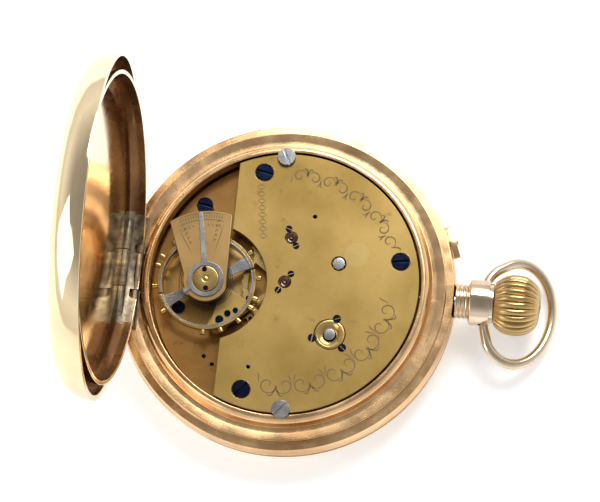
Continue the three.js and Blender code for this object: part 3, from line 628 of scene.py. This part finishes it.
def pendant():
    """Ringed neck and collar, bored for the stem and cross-drilled for the bow's ends."""
    neck = [(0, 25.3), (2.5, 25.3)]
    for x in (25.9, 26.5, 27.1):
        neck += [(2.5, x - 0.22, 0.05), (2.72, x, 0.12), (2.5, x + 0.22, 0.05)]
    neck += [(2.6, 27.6, 0.2), (3.45, 28.0, 0.2), (3.45, 30.95, 0.12)]
    neck += [(3.0, 30.95), (3.0, 31.55, 0.1), (0, 31.55)]
    holes = [rod((30, side * 2.2, STEM_Z), (30, side * 4, STEM_Z), 0.68, 32) for side in (1, -1)]
    body = boolean(on_stem(lathe(neck, 96)), [
        case_core(), *holes, rod((24, 0, STEM_Z), (33, 0, STEM_Z), 1.65, 48),
    ])
    piece("pendant_neck", body, "bow", "case", "pendant")


def crown():
    """Fluted crown: ridges that fade out towards both ends."""
    profile = rounded([(0, 32.4), (3.05, 32.4, 0.1), (3.05, 31.7), (3.3, 31.65, 0.2), (4.4, 33.0, 1.0),
                       (4.68, 34.9, 1.6), (4.3, 36.8, 1.4), (2.8, 38.3, 0.8), (0, 38.6)], 8)
    widest, reach = 34.9, 3.6
    sides, flutes = 288, 24
    points, faces = [], []
    for radius, x in profile:
        on_flutes = radius > 3.2 or x > 37
        depth = 0.115 * max(0.0, 1 - abs(x - widest) / reach) ** 0.4 if on_flutes else 0.0
        for i in range(sides):
            wave = abs(math.cos(math.pi * flutes * i / sides))
            r = radius * (1 - depth * (1 - wave ** 0.6))
            points.append((x, *polar(r, 360 * i / sides)))
    for k in range(len(profile) - 1):
        for i in range(sides):
            j = (i + 1) % sides
            faces.append([k * sides + i, k * sides + j, (k + 1) * sides + j, (k + 1) * sides + i])
    mesh = new_mesh("crown", points, faces)
    mesh.transform(Matrix.Translation((0, 0, STEM_Z * MM)))
    piece("crown_fluted", mesh, "crown", "crown", "crown", crease=50)


def bow():
    """Oval wire whose ends turn in to the pendant; it hangs a little below the stem."""
    centre, half_x, half_y, skew = 5.5, 5.75, 7.95, math.radians(-7)
    end_y, hang = 2.7, math.radians(24)
    start = math.degrees(math.pi - math.acos((centre - 0.15) / half_x))
    count = 96
    path = []
    for i in range(count + 1):
        t = math.radians(start * (1 - 2 * i / count))
        x, y = centre + half_x * math.cos(t), half_y * math.sin(t)
        turn = skew * min(1, abs(x) / 2)
        path.append((x * math.cos(turn) - y * math.sin(turn), x * math.sin(turn) + y * math.cos(turn), 0))

    def thick(share):
        return 0.5 + 0.3 * min(1, 12 * min(share, 1 - share)) ** 0.5
    mesh = sweep([(0, end_y, 0), *path, (0, -end_y, 0)], thick, 28)
    place = Matrix.Translation((30 * MM, 0, STEM_Z * MM)) @ Matrix.Rotation(hang, 4, "Y")
    piece("bow_wire", turned_to(mesh, place), "bow", "bow", "bow")


def set_pin():
    """Set pin's button and the low guard on the case round it."""
    ends = [(*polar(r, SET_PIN_ANGLE), SET_PIN_Z) for r in (18.9, 26.2, 26.15, 27.05)]
    pin = merged(rod(ends[0], ends[1], 0.32, 24), rod(ends[2], ends[3], 0.55, 32, 0.2))
    piece("set_pin_button", pin, "case", "set_pin", "set_pin")
    reach, middle, tip = 2.6, 1.1, 0.35
    outline = rounded([(-reach, -tip, 0.3), (0, -middle, 1.3), (reach, -tip, 0.3), (reach, tip, 0.3),
                       (0, middle, 1.3), (-reach, tip, 0.3)], 6)
    upright = flat([outline], 24, 26.75, 0.12)
    place = Matrix.Rotation(math.radians(SET_PIN_ANGLE), 4, "Z") @ Matrix.Translation((0, 0, 4.9 * MM))
    lying = Matrix.Rotation(math.pi / 2, 4, "Z") @ Matrix.Rotation(math.pi / 2, 4, "X")
    body = boolean(turned_to(upright, place @ lying), [
        case_core(),
        rod((*polar(24, SET_PIN_ANGLE), SET_PIN_Z), (*polar(28, SET_PIN_ANGLE), SET_PIN_Z), 0.68, 32),
    ])
    piece("set_pin_wall", body, "case", "case", "set_pin_guard")


# ---------------------------------------------------------------- plates
def plate_outline():
    """Edge of the three-quarter plate: its arc, its straight edge and the bay round the balance."""
    half = math.degrees(math.acos(PLATE_EDGE / PLATE_R))
    bay = math.degrees(math.acos((PLATE_EDGE - BALANCE[0]) / CUTOUT_R))
    return arc(PLATE_R, -half, half, step=1.5) + arc(CUTOUT_R, bay, -bay, BALANCE, 1.5)


def three_quarter_plate():
    holes = [ring(0.96, CENTRE, 48), ring(0.96, THIRD, 48), ring(1.12, GREAT, 48), ring(2.38, BARREL, 72)]
    holes += [ring(0.3, spot, 24) for spot in ((-4.06, -13.6), (3.53, 10.6))]
    sinks = [ring(1.45, polar(r, a), 48) for r, a, _ in PLATE_SCREWS]
    upper = flat([plate_outline(), *holes, *sinks], 8.75, PLATE_TOP, 0.08)
    lower = flat([plate_outline(), *holes], 8.0, 8.76, 0.02, 0)
    piece("gilt_plate", merged(upper, lower), "plate", "case", "three_quarter_plate")


def pillar_plate():
    spots = ((-11.3, -11.82), (-8.55, -11.75), (-9.94, -12.96))
    holes = [*[ring(0.3, spot, 24) for spot in spots], ring(0.35, CENTRE, 24), ring(0.62, GREAT, 24)]
    top = flat([ring(20.35, count=192), *holes], 5.2, PILLAR_TOP, 0.06)
    rim = lathe([(19, 4.45), (20.95, 4.45), (20.95, 5.08), (20.35, 5.08), (20.35, 5.25), (19, 5.25)], 192)
    pillars = [rod((*polar(r, a), PILLAR_TOP - 0.05), (*polar(r, a), 7.95), 1.3, 32)
               for r, a, _ in PLATE_SCREWS]
    piece("pillar_plate_disc", merged(top, rim, *pillars), "pillar", "case", "pillar_plate")
    low, high = PILLAR_TOP - 0.02, PILLAR_TOP + 0.04
    bed = lathe([(1.0, low), (6.9, low), (6.9, high, 0.02), (1.0, high)], 128, BALANCE)
    piece("balance_bed", bed, "bed", "case")
    screw = screw_mesh((-16.0, -4.5), 1.0, 6.2, 6.75, 30, 0.22, 0.2, 0.05)
    piece("under_balance_screw", screw, "blued", "case")


def movement_screws():
    sinks = [lathe([(1.37, 9.0), (1.5, 9.0), (1.5, 9.215, 0.02), (1.43, 9.215, 0.03)], 64, polar(r, a))
             for r, a, _ in PLATE_SCREWS]
    piece("screw_sink_rims", merged(*sinks), "brass", "case")
    for i, (r, a, slot) in enumerate(PLATE_SCREWS):
        head = screw_mesh(polar(r, a), 1.32, 8.8, 9.35, slot)
        piece(f"plate_screw_head_{i + 1}", head, "blued", "case", f"plate_screw_{i + 1}")
    for i, (r, a, slot) in enumerate(CASE_SCREWS):
        head = screw_mesh(polar(r, a), 1.38, 9.35, 9.8, slot, 0.3, 0.22)
        piece(f"case_screw_head_{i + 1}", head, "steel", "case", f"case_screw_{i + 1}")
    head = screw_mesh(polar(*COCK_SCREW, BALANCE), 1.25, 8.65, 9.15, -12)
    piece("cock_screw_head", head, "blued", "case", "cock_screw")


def balance_cock():
    """Wedge-shaped table with a hub over the balance, a stud, a riser, a foot and its post."""
    under, top = COCK
    post = polar(*COCK_SCREW, BALANCE)
    table = arc(10.8, 74.5, 127, BALANCE, 2) + arc(3.45, 172, 338, BALANCE, 4)
    body = merged(
        flat([table, ring(0.35, BALANCE, 24)], under, top, 0.09),
        flat([ring(0.75, polar(3.2, 217, BALANCE), 32)], under, top - 0.02, 0.09),
        flat([arc(10.7, 79, 124, BALANCE) + arc(9.4, 124, 79, BALANCE)], 8.4, 9.82, 0.03, 0),
        flat([arc(11.2, 82, 116, BALANCE) + arc(9.4, 116, 82, BALANCE)], 6.45, 8.6, 0.06),
        rod((*post, 6.45), (*post, 8.6), 1.15, 32),
    )
    piece("cock_table", body, "cock", "case", "balance_cock")


def bar_outline(a, b, half):
    """A bar with round ends between two points; half is half its width."""
    heading = math.degrees(math.atan2(b[1] - a[1], b[0] - a[0]))
    return arc(half, heading + 90, heading + 270, a, 8) + arc(half, heading - 90, heading + 90, b, 8)


def escapement_bridge():
    """Three bars on one leg over the pallets and the escape wheel, each top a step below the last."""
    z0, z1, step = 8.0, 8.4, 0.004
    spans = ((PALLET, BRIDGE_FOOT, 1.1), (ESCAPE, BRIDGE_FOOT, 1.2), (PALLET, ESCAPE, 1.1))
    arms = [flat([bar_outline(a, b, half)], z0, z1 - i * step, 0.05) for i, (a, b, half) in enumerate(spans)]
    leg = rod((*BRIDGE_FOOT, 6.45), (*BRIDGE_FOOT, 8.1), 1.4, 48)
    piece("bridge_bar", merged(*arms, leg), "plate", "case", "escapement_bridge")
    dots = [((-9.3, -6.42), 0.62), ((-8.19, -5.38), 0.5), ((-7.03, -4.82), 0.42), ((-5.27, -2.78), 0.42)]
    for i, (spot, r) in enumerate(dots):
        head = screw_mesh(spot, r, 8.3, 8.55, 25 * i, 0.13, 0.1, 0.03)
        piece(f"bridge_screw_{i + 1}", head, "blued", "case")


def barrel_sink():
    """Polished sink round the barrel arbor, with three screws at its edge, and both arbor tips."""
    sink = [(1.0, 8.2), (2.28, 8.2), (2.28, 9.15, 0.05), (1.9, 9.17, 0.05), (1.5, 8.95, 0.2),
            (1.0, 8.8, 0.05)]
    piece("sink_ring", lathe(sink, 96, BARREL), "brass", "case", "barrel_arbor_sink")
    for i, (spot, slot) in enumerate((((8.49, -5.1), 20), ((5.04, -8.34), 80), ((9.69, -9.51), -40))):
        head = screw_mesh(spot, 0.62, 8.95, 9.32, slot, 0.16, 0.14, 0.04)
        piece(f"sink_screw_{i + 1}", head, "blued", "case")
    barrel_tip = rod((*BARREL, 7.3), (*BARREL, 9.3), 0.86, 48, 0.1)
    piece("barrel_arbor_tip", barrel_tip, "steel", "ratchet")
    centre_tip = rod((*GREAT, 8.9), (*GREAT, 9.36), 0.92, 48, 0.1)
    piece("centre_arbor_tip", centre_tip, "steel", "centre_wheel")


# ---------------------------------------------------------------- balance and regulator
def balance():
    """Cut bimetallic balance with timing screws in its brass rim, its staff and its hairspring."""
    gap = 1.3
    rims = (("brass", 7.08, 7.5, ["balance_wheel"]), ("steel", 6.85, 7.07, []))
    for look, inner, outer, replaced in rims:
        halves = []
        for side in (0, 180):
            start = BALANCE_TURN - 11 + side + gap
            end = BALANCE_TURN - 11 + side + 180 - gap
            outline = arc(outer, start, end, BALANCE, 2) + arc(inner, end, start, BALANCE, 2)
            halves.append(flat([outline], 8.6, 9.4, 0.04))
        piece("balance_rim_" + look, merged(*halves), look, "balance", *replaced)
    flare = [(-6.95, 1.05), (-5, 0.72), (0, 0.6), (5, 0.72), (6.95, 1.05)]
    edges = [(u, -v) for u, v in flare] + flare[::-1]
    arms = flat([[turned(u, v, BALANCE_TURN, BALANCE) for u, v in edges]], 8.75, 9.0, 0.04)
    hub = flat([ring(1.1, BALANCE, 48)], 8.7, 9.05, 0.04)
    piece("balance_arms", merged(arms, hub), "steel", "balance")
    heads = []
    for side in (0, 180):
        for a in (40, 9, -15, -26, -46, -68, -88):
            foot, neck, tip = ((*polar(r, a + side, BALANCE), BALANCE_Z) for r in (7.3, 7.56, 8.28))
            heads += [rod(foot, neck, 0.2, 16), rod(neck, tip, 0.4, 32, 0.08)]
    piece("timing_screws", merged(*heads), "brass", "balance")
    steps = [(0.3, 7.6, 9.5), (0.16, 6.5, 10.45), (1.05, 7.8, 7.95), (0.5, 9.4, 9.7)]
    staff = merged(*[rod((*BALANCE, z0), (*BALANCE, z1), r, 32, 0.03) for r, z0, z1 in steps])
    piece("balance_staff_turned", staff, "steel", "balance", "balance_staff")
    piece("hairspring_coils", hairspring(), "blued", "case", "hairspring")


def hairspring():
    """A flat spiral band that starts at the staff."""
    coils, inner, outer = 12, 0.6, 4.3
    thick, high = 0.05, 0.2
    count = 80 * coils
    shares = [i / count for i in range(count + 1)]
    path = [polar(inner + (outer - inner) * share, 360 * coils * share, BALANCE) for share in shares]
    return band(path, [thick] * len(path), HAIRSPRING_Z, high)


def regulator():
    """Regulator ring with its pointer and tail, and the end cap inside it."""
    low, high = REGULATOR
    heading = 100.5
    tapered = ((2.5, -9.5), (10.4, -1.7), (10.6, 0), (10.4, 1.7), (2.5, 9.5))
    pointer = [polar(r, heading + a, BALANCE) for r, a in tapered]
    tail = bar_outline(polar(2.4, heading + 110, BALANCE), polar(3.6, heading + 116, BALANCE), 0.3)
    body = merged(flat([ring(2.75, BALANCE), ring(2.05, BALANCE)], low, high, 0.05),
                  flat([pointer], low + 0.01, high - 0.01, 0.04), flat([tail], low + 0.01, high - 0.01, 0.04))
    piece("regulator_steel", body, "steel", "regulator", "regulator_index")
    cap = [(0, 10.55), (1.95, 10.55), (1.95, 10.85, 0.1), (0.5, 10.87, 0.1), (0.3, 10.72, 0.05), (0, 10.7)]
    piece("endcap_disc", lathe(cap, 96, BALANCE), "brass", "case", "cock_endcap")
    stone = lathe([(0, 10.6), (0.42, 10.6), (0.4, 10.84, 0.1), (0, 10.9)], 32, BALANCE)
    piece("endcap_stone", stone, "brass", "case")
    for i, spot in enumerate(((-12.07, 0.58), (-11.58, -2.37))):
        head = screw_mesh(spot, 0.4, 10.7, 10.95, 40, 0.12, 0.1, 0.03)
        piece(f"endcap_screw_{i + 1}", head, "blued", "case")


# ---------------------------------------------------------------- dial side
def dial_side():
    bezel = [
        (20.9, 1.82, 0.05), (21.6, 1.95, 0.2), (24.25, 3.05, 0.5), (24.25, 3.4), (20.95, 3.4), (20.95, 2.55),
        (21.33, 2.55), (21.33, 1.97), (20.9, 1.97),
    ]
    piece("bezel_ring", lathe(bezel, 256), "case", "case", "front_bezel")
    crystal = lathe([(0, 2.02), (21.28, 2.02, 0.15), (21.28, 2.5), (0, 2.5)])
    piece("crystal_disc", crystal, "glass", "case", "crystal")
    dial = lathe([(1.0, 3.9, 0.05), (20.3, 3.9, 0.15), (20.3, 4.4), (1.0, 4.4)])
    piece("dial_disc", dial, "enamel", "case", "dial")
    piece("dial_marks", dial_marks(), "ink", "case")
    hand("hour", 30, 10.5, 1.3, 1.5, 1.5, 0.93, (3.45, 3.6), "hour_wheel")
    hand("minute", 132, 16.5, 1.0, 1.5, 1.3, 0.6, (3.1, 3.25), "cannon_pinion")
    hand("seconds", -75, 17.5, 0.4, 5, 0.9, 0.25, (2.75, 2.87), "fourth_wheel")


def dial_marks():
    """A stroke for each minute, a bolder one for each hour, and the ring that they reach."""
    low, high = DIAL_MARKS
    marks = []
    for i in range(60):
        a = 6 * i
        half, inner = (0.45, 15.2) if i % 5 == 0 else (0.09, 18.0)
        tangent = Vector(polar(half, a + 90))
        near, far = Vector(polar(inner, a)), Vector(polar(DIAL_TRACK_R, a))
        corners = (near - tangent, far - tangent, far + tangent, near + tangent)
        marks.append(flat([[tuple(corner) for corner in corners]], low, high, 0.004, 0))
    outer = DIAL_TRACK_R + 0.1
    marks.append(lathe([(DIAL_TRACK_R, low), (outer, low), (outer, high), (DIAL_TRACK_R, high)]))
    return merged(*marks)


def hand(name, angle, length, width, tail, hub, bore, levels, body):
    """A tapered hand with a ring hub."""
    root = math.degrees(math.asin(width / 2 / hub))
    blade = [polar(hub, -root), (length, -0.07), (length, 0.07), polar(hub, root)]
    outline = blade + arc(hub, root, 180 - root, step=12)
    outline += [(-tail, width * 0.3), (-tail, -width * 0.3)] if tail > hub else []
    outline += arc(hub, 180 + root, 360 - root, step=12)[:-1]
    mesh = flat([outline, ring(bore, count=32)], *levels, 0.03)
    mesh.transform(Matrix.Rotation(math.radians(angle), 4, "Z"))
    piece(name + "_hand_blade", mesh, "blued", body, name + "_hand")


# ---------------------------------------------------------------- engraving
def engraved_line(path, width, z, depth=0.012):
    """A cut line whose width swells in its middle and tapers at both ends."""
    last = len(path) - 1
    swell = [0.25 + 0.75 * math.sin(math.pi * i / last) for i in range(last + 1)]
    return band(path, [width * share for share in swell], z, depth)


def scroll(radius, angle, size, flip, z):
    """A C-scroll with a leaf on one side and a vein on the other, standing on an arc round the centre."""
    curl = []
    for i in range(26):
        t = i / 25
        x, y = polar(size * (0.12 + 0.88 * (1 - t) ** 0.9) * 0.5, 400 * t)
        curl.append((x * flip, y))
    shares = [i / 10 for i in range(11)]
    leaf = [(size * flip * (0.4 + 0.4 * t), size * 0.55 * math.sin(2.2 * t)) for t in shares]
    vein = [(-0.45 * size * flip * (1 + 0.5 * t), -size * 0.5 * math.sin(1.8 * t)) for t in shares]
    lines = []
    for path, width in ((curl, 0.22), (leaf, 0.26), (vein, 0.19)):
        placed = [polar(radius + y, angle + math.degrees(x / radius)) for x, y in path]
        lines.append(engraved_line(placed, width, z))
    return lines


def plate_marks(z):
    """Two arcs of scrolls and a row of lozenges in place of the plate's wording."""
    lines = []
    for count, radius, start, step, size in ((9, 16.9, 88, 7.7, 2.3), (10, 16.1, -12, 9.0, 3.0)):
        for i in range(count):
            lines += scroll(radius, start - step * i, size, 1 if i % 2 else -1, z)
    half_x, half_y = 0.65, 0.42
    for i in range(8):
        x, y = -4.0 - 0.16 * i, 7.0 + 1.1 * i
        for bend in (half_y, -half_y):
            lines.append(engraved_line([(x - half_x, y), (x, y + bend), (x + half_x, y)], 0.2, z))
    return lines


def cock_marks(z):
    """A scale between two arcs, waves and curls in rows, and a line up each side of the cock."""
    lines = []
    for i in range(17):
        lines.append(engraved_line([polar(r, 82 + 2.3 * i, BALANCE) for r in (9.6, 10.0, 10.4)], 0.2, z))
    for r in (9.4, 10.5):
        lines.append(engraved_line(arc(r, 79, 124, BALANCE, 1.5), 0.18, z))
    for i in range(4):
        for start in (80, 108):
            wave = [polar(8.3 + 0.5 * math.sin(t / 2), start + 4 * i + t, BALANCE) for t in range(4)]
            lines.append(engraved_line(wave, 0.15, z))
    for i in range(5):
        for start in (82.5, 116.5):
            curl = [polar(6.2 + 0.75 * i + 0.3 * math.sin(t), start + 0.8 * t, BALANCE) for t in range(5)]
            lines.append(engraved_line(curl, 0.2, z))
    for a in (78.5, 123.5):
        lines.append(engraved_line([polar(r / 2, a, BALANCE) for r in range(9, 19)], 0.14, z))
    return lines


def engraving():
    piece("plate_engraving", merged(*plate_marks(PLATE_TOP + CUT_RISE)), "groove", "case")
    piece("cock_engraving", merged(*cock_marks(COCK[1] + CUT_RISE)), "groove", "case")
    mark = [(0, 9.19), (1.9, 9.19), (1.9, 9.205), (0, 9.208)]
    piece("plate_ring_mark", lathe(mark, 96, (10.49, 5.11)), "pale", "case")


# ---------------------------------------------------------------- carried-over CAD nodes
def carried_over():
    """Gives the pieces that stay as the CAD has them their looks."""
    looks = {
        "steel": ["winding_stem", "stem_sleeve", "lid_spring", "lock_spring", "barrel_arbor", "pallet_fork",
                  "winding_pinion", "crown_wheel", "ratchet_wheel", "click", "click_spring", "set_lever",
                  "driving_pinion", "cannon_pinion", "front_hinge_pin"],
        "solder": ["back_hinge_pin", "inner_hinge_pin"],
        "brass": ["barrel", "barrel_cover", "centre_wheel", "third_wheel", "fourth_wheel", "escape_wheel",
                  "minute_wheel", "hour_wheel"],
        "blued": ["mainspring"],
    }
    for look, names in looks.items():
        for name in names:
            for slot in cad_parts[name].material_slots:
                slot.material = M[look]


# ---------------------------------------------------------------- stage
def stage():
    """White paper floor, a grey studio sky and two soft lights."""
    floor = bpy.data.meshes.new("floor")
    size, drop = 1.6, -1e-5
    corners = [(-size, -size, drop), (size, -size, drop), (size, size, drop), (-size, size, drop)]
    floor.from_pydata(corners, [], [(0, 1, 2, 3)])
    nodes = Nodes("floor_paper")
    tone = nodes.noise(0.02, 3.0)
    nodes.set(Base_Color=nodes.blend(tone, rgb(0.93, 0.93, 0.935), rgb(0.95, 0.95, 0.955)), Roughness=0.9)
    # A little light of its own keeps the paper white under the low lamps.
    nodes.set(Specular_IOR_Level=0.1, Emission_Color=rgb(1.0, 1.0, 1.0), Emission_Strength=0.3)
    floor.materials.append(nodes.material)
    item = bpy.data.objects.new("floor", floor)
    bpy.context.collection.objects.link(item)

    world = bpy.data.worlds.new("studio")
    bpy.context.scene.world = world
    world.use_nodes = True
    tree = world.node_tree
    backdrop = tree.nodes["Background"]
    coords = tree.nodes.new("ShaderNodeTexCoord")
    split = tree.nodes.new("ShaderNodeSeparateXYZ")
    ramp = tree.nodes.new("ShaderNodeValToRGB")
    tree.links.new(coords.outputs["Generated"], split.inputs[0])
    tree.links.new(split.outputs["Z"], ramp.inputs[0])
    tree.links.new(ramp.outputs[0], backdrop.inputs["Color"])
    # (height, grey level): bright near the horizon and darker overhead, which the polished covers reflect.
    stops = [(0.0, 0.85), (0.3, 1.0), (0.55, 0.7), (0.8, 0.38), (1.0, 0.32)]
    elements = ramp.color_ramp.elements
    while len(elements) < len(stops):
        elements.new(0.5)
    for element, (place, level) in zip(elements, stops):
        element.position = place
        element.color = (level, level, level * 1.01, 1)
    backdrop.inputs["Strength"].default_value = 1.0

    lamps = (("key", (0.12, 0.5, 0.62), 0.45, 5), ("fill", (-0.6, -0.3, 0.45), 0.6, 2))
    for name, spot, width, power in lamps:
        data = bpy.data.lights.new(name, "AREA")
        data.size = width
        data.energy = power
        lamp = bpy.data.objects.new(name, data)
        lamp.location = spot
        lamp.rotation_euler = (-Vector(spot)).to_track_quat("-Z", "Y").to_euler()
        bpy.context.collection.objects.link(lamp)


def camera():
    """A long lens looking down at the movement, rolled a little so that the crown points right and down."""
    azimuth, elevation, roll = math.radians(21.47), math.radians(72.34), math.radians(-16.18)
    target = Vector((1.69, 5.38, 8.0)) * MM
    distance = 427.71 * MM
    back = Vector((math.sin(azimuth) * math.cos(elevation), -math.cos(azimuth) * math.cos(elevation),
                   math.sin(elevation)))
    right = Vector((math.cos(azimuth), math.sin(azimuth), 0))
    up = back.cross(right)
    x_axis = right * math.cos(roll) + up * math.sin(roll)
    y_axis = up * math.cos(roll) - right * math.sin(roll)
    data = bpy.data.cameras.new("camera")
    data.lens = 169.3
    data.sensor_width = 36
    data.clip_start = 0.01
    item = bpy.data.objects.new("camera", data)
    turn = Matrix((x_axis, y_axis, back)).transposed().to_4x4()
    item.matrix_world = Matrix.Translation(target + back * distance) @ turn
    bpy.context.collection.objects.link(item)
    bpy.context.scene.camera = item


camera()
stage()
case_middle()
covers()
front_lid()
pendant()
crown()
bow()
set_pin()
three_quarter_plate()
pillar_plate()
movement_screws()
balance_cock()
escapement_bridge()
jewel("centre_jewel", CENTRE, JEWEL_TOP, [(0.84, 1.33, 20), (-0.85, -1.33, 60)])
jewel("third_jewel", THIRD, JEWEL_TOP, [(-0.51, 1.39, -20), (0.83, -1.2, 30)])
barrel_sink()
balance()
regulator()
dial_side()
engraving()
carried_over()
bpy.context.scene.view_settings.view_transform = "Standard"
